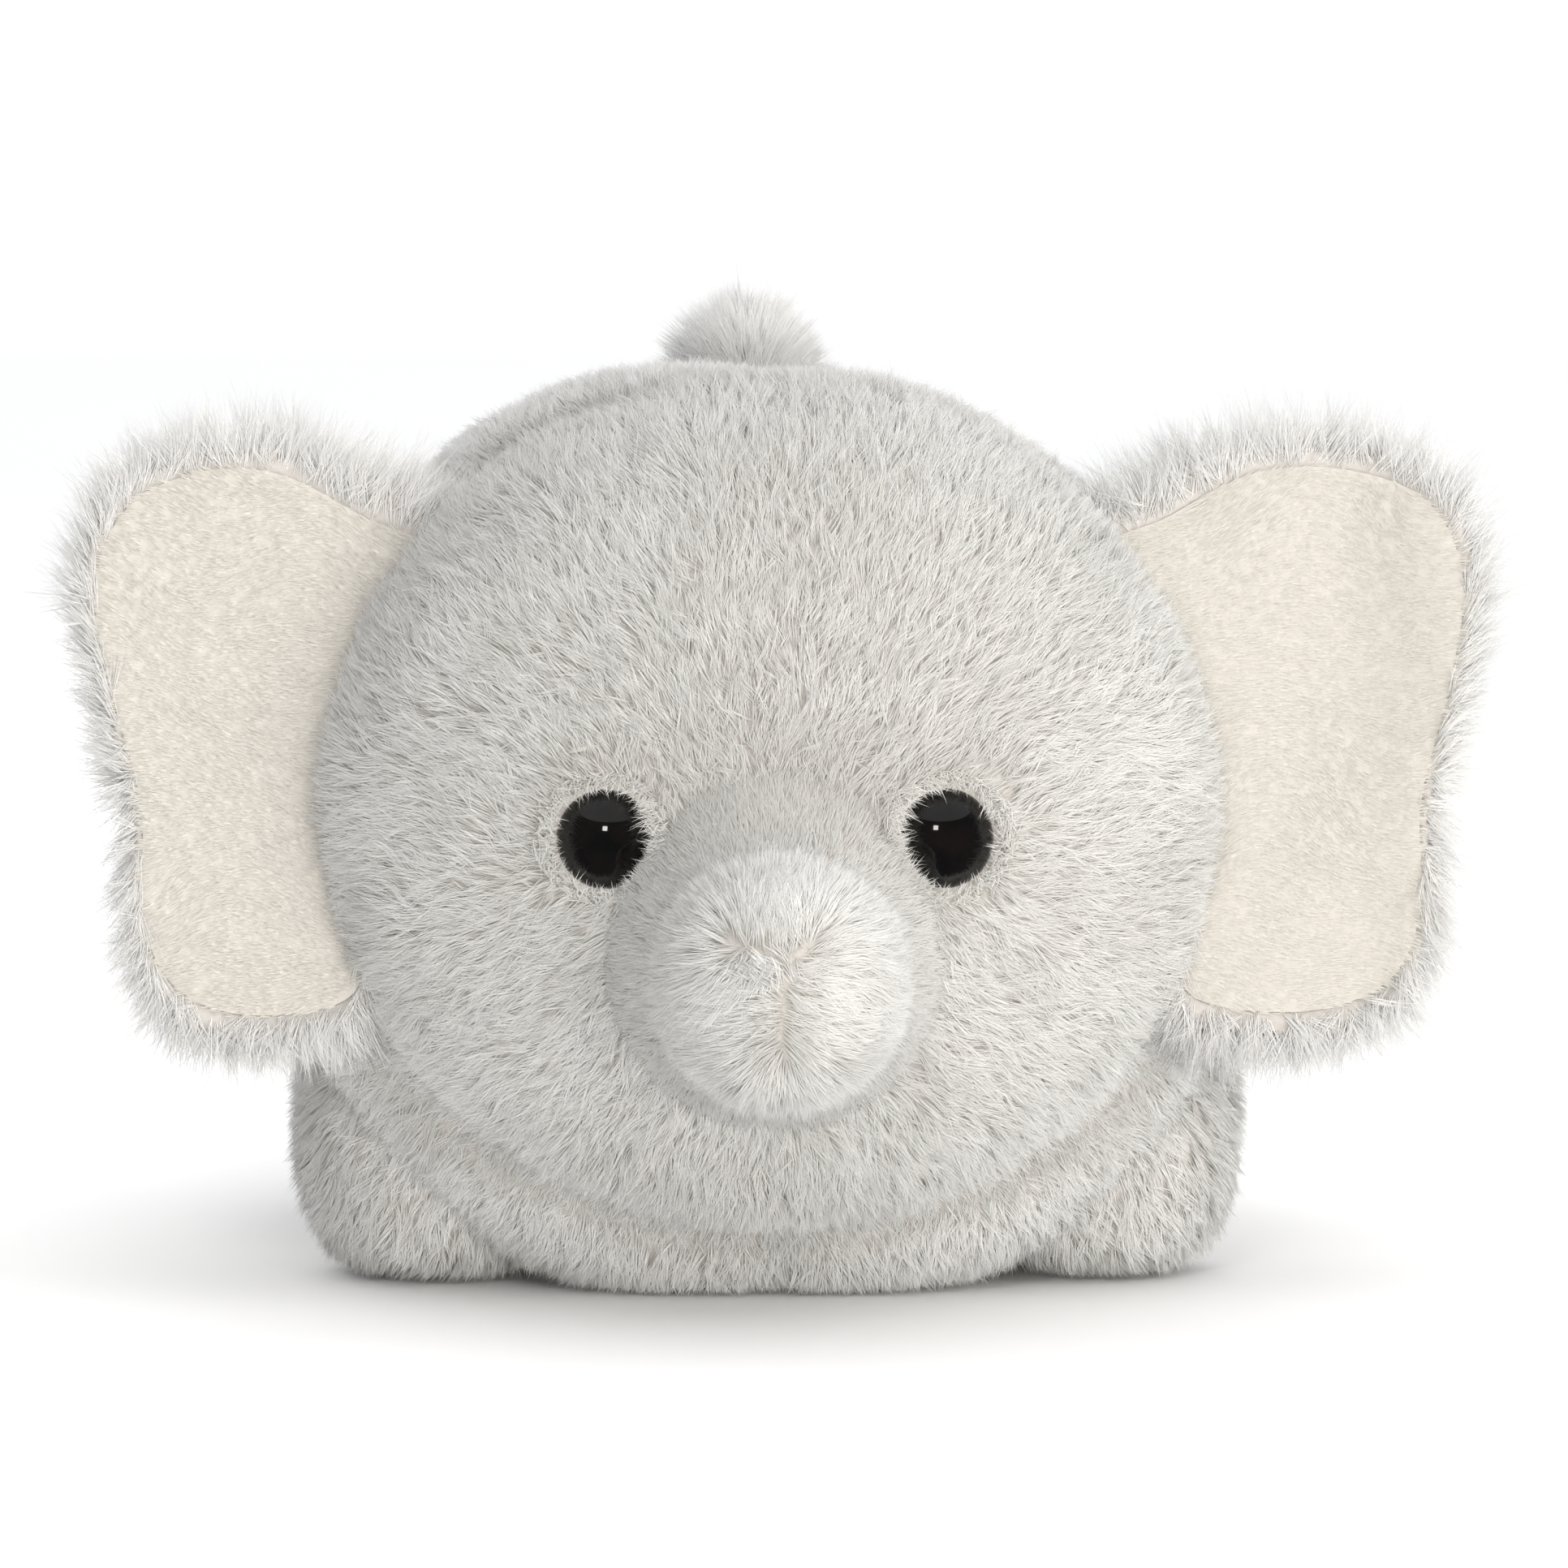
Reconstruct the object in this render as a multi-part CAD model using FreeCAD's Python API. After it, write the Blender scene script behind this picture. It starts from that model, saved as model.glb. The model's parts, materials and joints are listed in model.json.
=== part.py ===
import FreeCAD, Part
import math
import os

# A stuffed elephant that lies on its belly. +Z is up and the face looks towards -Y. The two
# sides mirror each other about X = 0, and "left" is the animal's own left, at +X. Lengths are
# in millimetres and angles in degrees. The origin is under the middle of the whole toy.

# Body: a round loaf. Its face is part of a large ball, a shoulder rounds the face into the
# sides, and the sides taper back to the ball of the rump.
BODY_RADIUS = 73.0
CENTRE_Z = 70.5
FACE_FRONT_Y = -90.2
REAR_Y = 127.2
FACE_BALL = 95.0
SHOULDER = 38.0
RUMP_BALL = 67.0
SEAM_LEAN = 12.3
BELLY_SEAM_Z = 22.0

# Fabric: the backing with its pile pressed down, and the clearance between loose neighbours
FABRIC = 3.0
GAP = 0.5

# Ears: outline points from the top of the root to its bottom, as (outwards, up)
EAR_OUTLINE = [
    (50.0, 119.0),
    (63.0, 129.0),
    (78.0, 136.0),
    (93.0, 136.0),
    (105.0, 129.0),
    (111.0, 115.0),
    (107.5, 95.0),
    (102.5, 76.0),
    (102.0, 57.0),
    (95.0, 45.0),
    (81.0, 41.5),
    (62.0, 47.0),
]
EAR_INSIDE = (52.0, 84.0)
EAR_LINING = 2.0
EAR_BACK = 4.0
EAR_ROLL = 3.0
EAR_SWING_ROOM = 3.8

# Trunk: a stub whose round end is a ball, bending about a point just inside the face
TRUNK_PIVOT_Y = -84.6
TRUNK_PIVOT_Z = 58.0
TRUNK_DROOP = 2.0
TRUNK_BALL = 18.5
TRUNK_BALL_OUT = 24.3
TRUNK_FLARE = 12.0
TRUNK_RELIEF = 20.5
TRUNK_ROOT_BALL = 12.0
TRUNK_RIM_REACH = 24.6

# Eyes: black domes on shanks, locked behind the face by washers
EYE_X = 26.0
EYE_Z = 75.8
EYE_RADIUS = 8.0
EYE_RISE = 6.0
EYE_FLANGE = 1.2
SHANK_RADIUS = 2.5
SHANK_LENGTH = 13.0
WASHER_RADIUS = 9.0
WASHER_THICKNESS = 1.5

# Feet: upright stubs beside the belly, as (outwards, along) of each pair
FRONT_FOOT = (52.0, -27.0)
REAR_FOOT = (47.0, 62.0)
FOOT_RADIUS = 23.5
FOOT_EDGE = 10.0
FOOT_HEIGHT = 48.0
FOOT_SWING_ROOM = 3.6

# Tail: an upright stub at the top of the rump
TAIL_Y = 78.0
TAIL_Z = 136.0
TAIL_RADIUS = 8.0
TAIL_LENGTH = 9.0
TAIL_LEAN = 12.0
TAIL_FABRIC = 2.0
TAIL_ROOM = 1.2

# Pellet pouch: a flat round bag low in the stuffing, holding one layer of pellets
POUCH_RADIUS = 30.0
POUCH_HALF_THICKNESS = 6.0
POUCH_CENTRE = (0.0, 5.0, 17.0)
POUCH_FABRIC = 1.0
PELLET_RADIUS = 2.0
PELLET_PITCH = 5.0

SPACE = 600.0
V = FreeCAD.Vector
UP = V(0, 0, 1)


def half_space(point, normal):
    """A block far larger than the toy, whose near face lies on the plane."""
    block = Part.makeBox(SPACE, SPACE, SPACE, V(-SPACE / 2, -SPACE / 2, 0))
    block.Placement = FreeCAD.Placement(point, FreeCAD.Rotation(UP, normal))
    return block


def revolve(edges):
    """A solid turned about the Z axis from edges that lie in the XZ plane."""
    return Part.Face(Part.Wire(edges)).revolve(V(0, 0, 0), UP, 360)


def place(shape, point, direction):
    """Moves a shape's origin to a point and turns its Z axis to a direction."""
    moved = shape.copy()
    moved.Placement = FreeCAD.Placement(point, FreeCAD.Rotation(UP, direction))
    return moved


def pouch_form(shrink):
    """A flat round bag with a half-round rim."""
    half = POUCH_HALF_THICKNESS - shrink
    flat = POUCH_RADIUS - POUCH_HALF_THICKNESS
    edges = [
        Part.makeLine(V(0, 0, -half), V(flat, 0, -half)),
        Part.Arc(V(flat, 0, -half), V(flat + half, 0, 0), V(flat, 0, half)).toShape(),
        Part.makeLine(V(flat, 0, half), V(0, 0, half)),
        Part.makeLine(V(0, 0, half), V(0, 0, -half)),
    ]
    return place(revolve(edges), V(*POUCH_CENTRE), UP)


def keep_side(shape, side):
    """The half of a shape on the left, side = 1, or on the right, side = -1."""
    return shape.common(half_space(V(0, 0, 0), V(side, 0, 0)))


def arc(centre, radius, start, stop):
    """An edge in the XZ plane from one direction to another, in degrees from +X towards +Z."""
    turns = [math.radians(turn) for turn in (start, (start + stop) / 2, stop)]
    points = [V(centre[0] + radius * math.cos(t), 0, centre[1] + radius * math.sin(t)) for t in turns]
    return Part.Arc(*points).toShape(), points[0], points[-1]


def face_ball_y():
    return FACE_FRONT_Y + FACE_BALL


def seam_top_y():
    """The body is broadest here, at the shoulder's own centre."""
    inset = BODY_RADIUS - SHOULDER
    return face_ball_y() - math.sqrt((FACE_BALL - SHOULDER) ** 2 - inset**2)


def loaf(grow):
    """The body's outside, grown outwards by so much, or shrunk where grow is negative. Its
    profile has X across the body and Z along it, from the face to the rump."""
    shoulder_centre = (BODY_RADIUS - SHOULDER, seam_top_y())
    rump_centre = (0.0, REAR_Y - RUMP_BALL)
    across = shoulder_centre[0]
    along = rump_centre[1] - shoulder_centre[1]
    meeting = math.degrees(math.atan2(shoulder_centre[1] - face_ball_y(), across))
    taper = math.degrees(
        math.atan2(along, -across) - math.acos((SHOULDER - RUMP_BALL) / math.hypot(across, along))
    )
    face, start, _ = arc((0.0, face_ball_y()), FACE_BALL + grow, -90, meeting)
    shoulder, _, side_start = arc(shoulder_centre, SHOULDER + grow, meeting, taper)
    rump, side_stop, stop = arc(rump_centre, RUMP_BALL + grow, taper, 90)
    side = Part.makeLine(side_start, side_stop)
    body = revolve([face, shoulder, side, rump, Part.makeLine(stop, start)])
    body = place(body, V(0, 0, CENTRE_Z), V(0, 1, 0))
    return body.common(half_space(V(0, 0, -grow), UP))


def seam_y(height):
    """Where the leaning plane of the face seam stands at a height."""
    drop = CENTRE_Z + BODY_RADIUS - height
    return seam_top_y() - drop * math.tan(math.radians(SEAM_LEAN))


def trunk_direction():
    droop = math.radians(TRUNK_DROOP)
    return V(0, -math.cos(droop), -math.sin(droop))


def trunk_pivot():
    return V(0, TRUNK_PIVOT_Y, TRUNK_PIVOT_Z)


def trunk_form(shrink):
    """The trunk's outside: a flared cone tangent to its end ball, hollowed at the root so
    that it can tip every way in front of the face."""
    flare = math.radians(TRUNK_FLARE)
    relief = math.radians(TRUNK_RELIEF)
    tip, tangent, tip_end = arc((0.0, TRUNK_BALL_OUT), TRUNK_BALL - shrink, TRUNK_FLARE, 90)
    base_r = tangent.x + tangent.z * math.tan(flare)
    rim_r = base_r / (1 + math.tan(relief) * math.tan(flare))
    rim = V(rim_r, 0, rim_r * math.tan(relief))
    root = V(0, 0, 0)
    edges = [Part.makeLine(root, rim), Part.makeLine(rim, tangent), tip, Part.makeLine(tip_end, root)]
    return place(revolve(edges), trunk_pivot(), trunk_direction())


def trunk_room():
    """What the trunk's root sweeps: a half ball in front of the pivot, and the root wad."""
    reach = Part.makeSphere(TRUNK_RIM_REACH, trunk_pivot())
    reach = reach.common(half_space(trunk_pivot(), trunk_direction()))
    return reach.fuse(Part.makeSphere(TRUNK_ROOT_BALL + GAP, trunk_pivot()))


def eye_frame(side):
    """The point of the face's ball that an eye is fixed at, and the way that it looks."""
    rise = EYE_Z - CENTRE_Z
    ahead = math.sqrt(FACE_BALL**2 - EYE_X**2 - rise**2)
    direction = V(side * EYE_X, -ahead, rise)
    return V(0, face_ball_y(), CENTRE_Z) + direction, direction.normalize()


def eye_form():
    """A dome on a thin flange, with a shank behind, looking along +Z."""
    sphere_radius = (EYE_RADIUS**2 + EYE_RISE**2) / (2 * EYE_RISE)
    ball = Part.makeSphere(sphere_radius, V(0, 0, EYE_FLANGE + EYE_RISE - sphere_radius))
    dome = ball.common(half_space(V(0, 0, EYE_FLANGE), UP))
    flange = Part.makeCylinder(EYE_RADIUS, EYE_FLANGE)
    shank = Part.makeCylinder(SHANK_RADIUS, SHANK_LENGTH, V(0, 0, -SHANK_LENGTH))
    return dome.fuse([flange, shank]).removeSplitter()


def washer_form():
    """A ring that grips the shank just behind the fabric."""
    depth = -FABRIC - 2 * GAP - WASHER_THICKNESS
    ring = Part.makeCylinder(WASHER_RADIUS, WASHER_THICKNESS, V(0, 0, depth))
    return ring.cut(Part.makeCylinder(SHANK_RADIUS, WASHER_THICKNESS, V(0, 0, depth)))


def eye_room():
    """The room that an eye's shank and washer need in the fabric and the stuffing."""
    shank = Part.makeCylinder(SHANK_RADIUS + GAP, SHANK_LENGTH + 2 * GAP, V(0, 0, 2 * GAP), V(0, 0, -1))
    depth = -FABRIC - 3 * GAP - WASHER_THICKNESS
    washer = Part.makeCylinder(WASHER_RADIUS + GAP, WASHER_THICKNESS + 2 * GAP, V(0, 0, depth))
    return shank.fuse(washer)


def flat_seat(thickness):
    """The block of fabric that an eye's flange presses flat."""
    return Part.makeCylinder(EYE_RADIUS + GAP, thickness)


def foot_form(shrink):
    """A stub foot on its own axis: a flat sole, a round edge, upright sides and a domed top."""
    radius = FOOT_RADIUS - shrink
    sole = FOOT_RADIUS - FOOT_EDGE
    dome_z = FOOT_HEIGHT - FOOT_RADIUS
    edge, edge_start, edge_stop = arc((sole, FOOT_EDGE), FOOT_EDGE - shrink, -90, 0)
    dome, dome_start, dome_stop = arc((0.0, dome_z), radius, 0, 90)
    floor_centre = V(0, 0, shrink)
    return revolve([
        Part.makeLine(floor_centre, edge_start),
        edge,
        Part.makeLine(edge_stop, dome_start),
        dome,
        Part.makeLine(dome_stop, floor_centre),
    ])


def tail_direction():
    lean = math.radians(TAIL_LEAN)
    return V(0, math.sin(lean), math.cos(lean))


def tail_pivot():
    return V(0, TAIL_Y, TAIL_Z)


def tail_form(shrink):
    """A capsule whose lower ball is centred on the point that the tail sways about."""
    radius = TAIL_RADIUS - shrink
    lower, start, side_start = arc((0.0, 0.0), radius, -90, 0)
    upper, side_stop, stop = arc((0.0, TAIL_LENGTH), radius, 0, 90)
    edges = [lower, Part.makeLine(side_start, side_stop), upper, Part.makeLine(stop, start)]
    return place(revolve(edges), tail_pivot(), tail_direction())


def body_panels():
    """The five panels of the body's skin."""
    skin = loaf(0).cut(loaf(-FABRIC))
    front = half_space(V(0, seam_y(CENTRE_Z), CENTRE_Z), seam_normal())
    face = skin.common(front).cut(trunk_room())
    for side in (1, -1):
        point, direction = eye_frame(side)
        face = face.cut(place(eye_room(), point, direction))
        face = face.cut(place(flat_seat(FABRIC), point, direction))
    rest = skin.cut(front)
    above = half_space(V(0, 0, BELLY_SEAM_Z), UP)
    back = rest.common(above).cut(Part.makeSphere(TAIL_RADIUS + TAIL_ROOM, tail_pivot()))
    return {
        "face_panel_left": keep_side(face, 1),
        "face_panel_right": keep_side(face, -1),
        "back_panel_left": keep_side(back, 1),
        "back_panel_right": keep_side(back, -1),
        "belly_panel": rest.cut(above),
    }


def seam_normal():
    """The direction from the face seam's plane towards the face."""
    lean = math.radians(SEAM_LEAN)
    return V(0, -math.cos(lean), math.sin(lean))


def filling():
    """What the body's skin holds: stuffing round a pouch of pellets."""
    pouch = pouch_form(0)
    stuffing = loaf(-FABRIC - GAP).cut(pouch_form(-GAP)).cut(trunk_room())
    stuffing = stuffing.cut(Part.makeSphere(TAIL_RADIUS + TAIL_ROOM, tail_pivot()))
    for side in (1, -1):
        point, direction = eye_frame(side)
        stuffing = stuffing.cut(place(eye_room(), point, direction))
    return {
        "body_stuffing": stuffing,
        "pellet_pouch": pouch.cut(pouch_form(POUCH_FABRIC)),
        "pellets": Part.makeCompound(pellet_layer()),
    }


def pellet_layer():
    """One layer of pellets on a square grid, clear of the pouch's rim."""
    room = POUCH_RADIUS - POUCH_HALF_THICKNESS
    count = int(room // PELLET_PITCH)
    steps = range(-count, count + 1)
    spots = [V(x * PELLET_PITCH, y * PELLET_PITCH, 0) for x in steps for y in steps]
    middle = V(*POUCH_CENTRE)
    return [Part.makeSphere(PELLET_RADIUS, middle + spot) for spot in spots if spot.Length <= room]


def ear_face(side, inset):
    """The ear's outline on the seam's plane, drawn in by so much at its free edge."""
    inside_x, inside_z = EAR_INSIDE
    points = []
    for x, z in EAR_OUTLINE:
        reach = math.hypot(x - inside_x, z - inside_z)
        share = 1 - inset / reach
        z_in = inside_z + (z - inside_z) * share
        x_in = inside_x + (x - inside_x) * share
        points.append(V(side * x_in, seam_y(z_in), z_in))
    edge = Part.BSplineCurve()
    edge.interpolate(Points=points)
    return Part.Face(Part.Wire([edge.toShape(), Part.makeLine(points[-1], points[0])]))


def ear(side):
    """One ear: a fur back, rolled round the edge of a smaller lining."""
    normal = seam_normal()
    clear = loaf(EAR_SWING_ROOM)
    back = ear_face(side, 0).extrude(normal * -EAR_BACK).cut(clear)
    lining = ear_face(side, EAR_ROLL).extrude(normal * EAR_LINING).cut(clear)
    return back, lining


def foot(side, spot):
    """One foot: a cap of skin that is open towards the belly, and its stuffing."""
    outwards, along = spot
    corner = V(side * outwards, along, 0)
    clear = loaf(FOOT_SWING_ROOM)
    outside = place(foot_form(0), corner, UP)
    inside = place(foot_form(FABRIC), corner, UP)
    stuffing = place(foot_form(FABRIC + GAP), corner, UP)
    return outside.cut(inside).cut(clear), stuffing.cut(clear)


def trunk():
    """The trunk: two halves of skin round its stuffing, and the wad that it turns on."""
    skin = trunk_form(0).cut(trunk_form(FABRIC))
    socket = Part.makeSphere(TRUNK_ROOT_BALL + GAP, trunk_pivot())
    return {
        "trunk_panel_left": keep_side(skin, 1),
        "trunk_panel_right": keep_side(skin, -1),
        "trunk_stuffing": trunk_form(FABRIC + GAP).cut(socket),
        "trunk_root_stuffing": Part.makeSphere(TRUNK_ROOT_BALL, trunk_pivot()),
    }


def all_parts():
    parts = {}
    parts.update(body_panels())
    parts.update(filling())
    parts.update(trunk())
    for side, name in ((1, "left"), (-1, "right")):
        point, direction = eye_frame(side)
        parts["eye_" + name] = place(eye_form(), point, direction)
        parts["eye_washer_" + name] = place(washer_form(), point, direction)
        parts["ear_back_" + name], parts["ear_lining_" + name] = ear(side)
        for row, spot in (("front", FRONT_FOOT), ("rear", REAR_FOOT)):
            skin, stuffing = foot(side, spot)
            parts[f"foot_skin_{row}_{name}"] = skin
            parts[f"foot_stuffing_{row}_{name}"] = stuffing
    parts["tail_skin"] = tail_form(0).cut(tail_form(TAIL_FABRIC))
    parts["tail_stuffing"] = tail_form(TAIL_FABRIC + GAP)
    return parts


def main():
    os.makedirs("parts", exist_ok=True)
    for name, shape in all_parts().items():
        solids = shape.Solids
        kept = solids[0] if len(solids) == 1 else Part.makeCompound(solids)
        kept.exportStep(f"parts/{name}.step")
        box = kept.BoundBox
        print(
            f"{name}: {len(solids)} solids, valid {kept.isValid()}, {kept.Volume / 1000:.2f} cm3,"
            f" x {box.XMin:.1f} {box.XMax:.1f}, y {box.YMin:.1f} {box.YMax:.1f},"
            f" z {box.ZMin:.1f} {box.ZMax:.1f}"
        )


main()
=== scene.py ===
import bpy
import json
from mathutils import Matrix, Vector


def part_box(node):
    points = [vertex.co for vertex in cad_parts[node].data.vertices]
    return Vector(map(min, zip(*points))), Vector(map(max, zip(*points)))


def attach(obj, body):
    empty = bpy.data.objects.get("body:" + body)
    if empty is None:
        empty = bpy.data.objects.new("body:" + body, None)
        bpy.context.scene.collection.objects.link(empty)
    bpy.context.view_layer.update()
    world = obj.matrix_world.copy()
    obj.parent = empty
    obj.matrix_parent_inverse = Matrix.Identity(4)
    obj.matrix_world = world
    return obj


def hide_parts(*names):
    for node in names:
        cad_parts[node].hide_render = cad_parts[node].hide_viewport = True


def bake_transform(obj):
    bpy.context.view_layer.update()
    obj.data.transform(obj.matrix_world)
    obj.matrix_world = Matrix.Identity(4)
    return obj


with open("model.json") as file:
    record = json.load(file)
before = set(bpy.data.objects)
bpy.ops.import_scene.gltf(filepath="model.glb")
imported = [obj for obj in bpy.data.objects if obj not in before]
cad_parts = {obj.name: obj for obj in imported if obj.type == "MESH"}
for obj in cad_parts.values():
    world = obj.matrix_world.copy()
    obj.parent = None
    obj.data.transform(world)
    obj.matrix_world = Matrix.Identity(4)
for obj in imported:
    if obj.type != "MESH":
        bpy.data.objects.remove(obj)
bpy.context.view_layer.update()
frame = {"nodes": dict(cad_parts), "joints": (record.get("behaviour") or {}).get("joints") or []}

import copy
import json
import math

import bpy
import numpy as np
from mathutils import Vector

# A stuffed elephant lying on its belly. Lengths are in metres, +Z is up, the face looks towards
# -Y, and "left" is the animal's own left, at +X.
MM = 0.001
RNG = np.random.default_rng(7)


def joint_place(name):
    return np.array(next(j["pos_m"] for j in frame["joints"] if j["name"] == name))


# How each part is stuffed: the pressure, the most that a point may move, and the frames
BODY_STUFFING = (150, 2.6 * MM, 14)
TRUNK_STUFFING = (1500, 1.0 * MM, 14)
FOOT_STUFFING = (1200, 1.5 * MM, 10)

# The body's own sizes: a big ball for the face, a shoulder, and the ball of the rump
BODY_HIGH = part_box("back_panel_left")[1]
RADIUS = BODY_HIGH[0]
REAR_Y = BODY_HIGH[1]
CENTRE_Z = BODY_HIGH[2] - RADIUS
TRUNK_PIVOT = joint_place("trunk_sway")
FRONT_Y = TRUNK_PIVOT[1] - 5.6 * MM
FACE_BALL = 95 * MM
SHOULDER = 38 * MM
RUMP_BALL = 67 * MM
SEAM_LEAN = math.tan(math.radians(12.3))
BELLY_SEAM = 35
AROUND = 96
# Nothing is nearer the floor than this: a stuffed skin, the wadding in it, and the pile
SKIN_LOW, WADDING_LOW, HAIR_LOW = 0.4 * MM, 1.5 * MM, 0.15 * MM
FACE_RINGS = 15
BODY_RINGS = 34


# ---- small helpers
def lengths(vectors):
    return np.linalg.norm(vectors, axis=1)


def unit(vectors):
    return vectors / np.maximum(np.linalg.norm(vectors, axis=-1, keepdims=True), 1e-12)


def ease(values, low, high):
    """0 below low, 1 above high, smooth between."""
    t = np.clip((values - low) / (high - low), 0, 1)
    return t * t * (3 - 2 * t)


def bump(distance, width):
    return np.exp(-((distance / width) ** 2))


def circle(count):
    """Evenly spaced angles all the way round."""
    return np.arange(count) * 2 * math.pi / count


def waves(points, scale, seed):
    """Smooth noise about -1 to 1 from a few sine waves in fixed random directions."""
    rng = np.random.default_rng(seed)
    total = 0
    for octave in range(5):
        direction = unit(rng.normal(size=3)) * (2 * math.pi / scale) * (0.7 + 0.35 * octave)
        total = total + np.sin(points @ direction + rng.uniform(0, 6.28)) * 0.9**octave
    return total / 3


def linked(name, data):
    obj = bpy.data.objects.new(name, data)
    bpy.context.scene.collection.objects.link(obj)
    return obj


def new_object(name, points, faces):
    mesh = bpy.data.meshes.new(name)
    mesh.from_pydata([tuple(p) for p in points], [], faces)
    mesh.update()
    return linked(name, mesh)


def shade_smooth(obj):
    obj.data.polygons.foreach_set("use_smooth", [True] * len(obj.data.polygons))
    return obj


def coordinates(mesh):
    points = np.empty(len(mesh.vertices) * 3)
    mesh.vertices.foreach_get("co", points)
    return points.reshape(-1, 3)


def vertex_normals(mesh):
    normals = np.empty(len(mesh.vertices) * 3)
    mesh.vertices.foreach_get("normal", normals)
    return normals.reshape(-1, 3)


def move_to(obj, points):
    obj.data.vertices.foreach_set("co", points.ravel())
    obj.data.update()


def tube_faces(rings, around, first_pole, last_pole):
    """Faces of rings joined in order, with a fan at each end that has a pole. Poles come last."""
    faces = []
    for i in range(rings - 1):
        for j in range(around):
            k = (j + 1) % around
            here, there = i * around, (i + 1) * around
            faces.append((here + j, here + k, there + k, there + j))
    count = rings * around
    if first_pole:
        faces += [(count, (j + 1) % around, j) for j in range(around)]
        count += 1
    if last_pole:
        base = (rings - 1) * around
        faces += [(count, base + j, base + (j + 1) % around) for j in range(around)]
    return faces


def evaluated(obj):
    """A new mesh of the object with its modifiers applied."""
    graph = bpy.context.evaluated_depsgraph_get()
    graph.update()
    return bpy.data.meshes.new_from_object(obj.evaluated_get(graph))


def refine(obj):
    """Applies one Catmull-Clark subdivision to the object's mesh."""
    modifier = obj.modifiers.new("Refine", "SUBSURF")
    modifier.levels = modifier.render_levels = 1
    mesh = evaluated(obj)
    obj.modifiers.clear()
    obj.data = mesh
    return shade_smooth(obj)


def stuff(obj, pinned, pressure, travel, frames):
    """Fills a skin by a cloth simulation: its pinned vertices hold, such as a seam, and the
    rest swells by at most so much."""
    scene = bpy.context.scene
    start = coordinates(obj.data)
    group = obj.vertex_groups.new(name="pinned")
    group.add([int(i) for i in np.nonzero(pinned)[0]], 1.0, "REPLACE")
    cloth = obj.modifiers.new("Cloth", "CLOTH")
    fabric = cloth.settings
    fabric.quality = 6
    fabric.mass = 0.2
    fabric.tension_stiffness = fabric.compression_stiffness = 5
    fabric.shear_stiffness = 3
    fabric.bending_stiffness = 0.1
    fabric.use_pressure = True
    fabric.uniform_pressure_force = pressure
    fabric.vertex_group_mass = "pinned"
    fabric.effector_weights.gravity = 0
    cloth.point_cache.frame_start = 1
    cloth.point_cache.frame_end = frames
    for number in range(1, frames + 1):
        scene.frame_set(number)
    swollen = evaluated(obj)
    move = coordinates(swollen) - start
    far = np.linalg.norm(move, axis=1, keepdims=True)
    move *= travel * np.tanh(far / travel) / np.maximum(far, 1e-9)
    obj.modifiers.clear()
    scene.frame_set(1)
    move_to(obj, start + move)
    bpy.data.meshes.remove(swollen)


# ---- the body's form
def loaf_profile():
    """The body's side outline from the tip of the face to the rump: distance along it as a
    share of the whole, and Y and radius there."""
    inset = RADIUS - SHOULDER
    ball_y = FRONT_Y + FACE_BALL
    shoulder_y = ball_y - math.sqrt((FACE_BALL - SHOULDER) ** 2 - inset**2)
    rump_y = REAR_Y - RUMP_BALL
    along = rump_y - shoulder_y
    meeting = math.atan2(shoulder_y - ball_y, inset)
    taper = math.atan2(along, -inset) - math.acos((SHOULDER - RUMP_BALL) / math.hypot(inset, along))
    pieces = []
    for y, r, radius, start, stop in (
        (ball_y, 0.0, FACE_BALL, -math.pi / 2, meeting),
        (shoulder_y, inset, SHOULDER, meeting, taper),
        (rump_y, 0.0, RUMP_BALL, taper, math.pi / 2),
    ):
        turns = np.linspace(start, stop, 60)
        pieces.append(np.stack([y + radius * np.sin(turns), r + radius * np.cos(turns)], axis=1))
    line = np.concatenate(pieces)
    steps = lengths(np.diff(line, axis=0))
    reach = np.concatenate([[0], np.cumsum(steps)])
    return reach / reach[-1], line[:, 0], line[:, 1], shoulder_y


REACH, PROFILE_Y, PROFILE_R, SEAM_TOP_Y = loaf_profile()
# The skin is a little taller than the CAD's and wider at the cheeks, and flat under the belly
SKIN_TALL = 1.045
CHEEKS = 0.06
BELLY_Z = 0.6 * MM
BELLY_SOFT = 4 * MM
# The grooves at the seams: how deep, and how wide before and behind the face seam
FACE_GROOVE = 4.6 * MM
GROOVE_BEFORE, GROOVE_BEHIND = 2.6 * MM, 6 * MM
SPINE_GROOVE, SPINE_WIDE = 1.6 * MM, 4 * MM


def seam_y(z):
    """Where the leaning plane of the face seam stands at a height."""
    return SEAM_TOP_Y - (CENTRE_Z + RADIUS - z) * SEAM_LEAN


def body_points(reach, turn):
    """Points of the body's skin. turn is 0 at the top and grows towards +X."""
    y = np.interp(reach, REACH, PROFILE_Y)
    r = np.interp(reach, REACH, PROFILE_R)
    behind = ease(y - SEAM_TOP_Y, 0, 22 * MM)
    plump = np.sin(2 * turn) ** 2 * np.maximum(np.cos(turn), 0) * (1 - 1.25 * np.sin(turn))
    r = r + 4.8 * MM * behind * plump * ease(r, 30 * MM, 60 * MM)
    x = r * np.sin(turn) * (1 + CHEEKS * (1 - behind))
    z = CENTRE_Z + r * np.cos(turn) * SKIN_TALL
    over = z - BELLY_Z
    z = BELLY_Z + 0.5 * (over + np.sqrt(over**2 + BELLY_SOFT**2))
    return np.stack([x, y, z], axis=-1)


def behind_seam(points):
    return points[:, 1] - seam_y(points[:, 2])


def seam_reach(turn):
    """How far along the body the face seam is, at each turn."""
    found = []
    for angle in turn:
        points = body_points(REACH, np.full(len(REACH), angle))
        behind = behind_seam(points)
        first = int(np.argmax(behind > 0))
        share = -behind[first - 1] / (behind[first] - behind[first - 1])
        found.append(REACH[first - 1] + share * (REACH[first] - REACH[first - 1]))
    return np.array(found)


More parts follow.
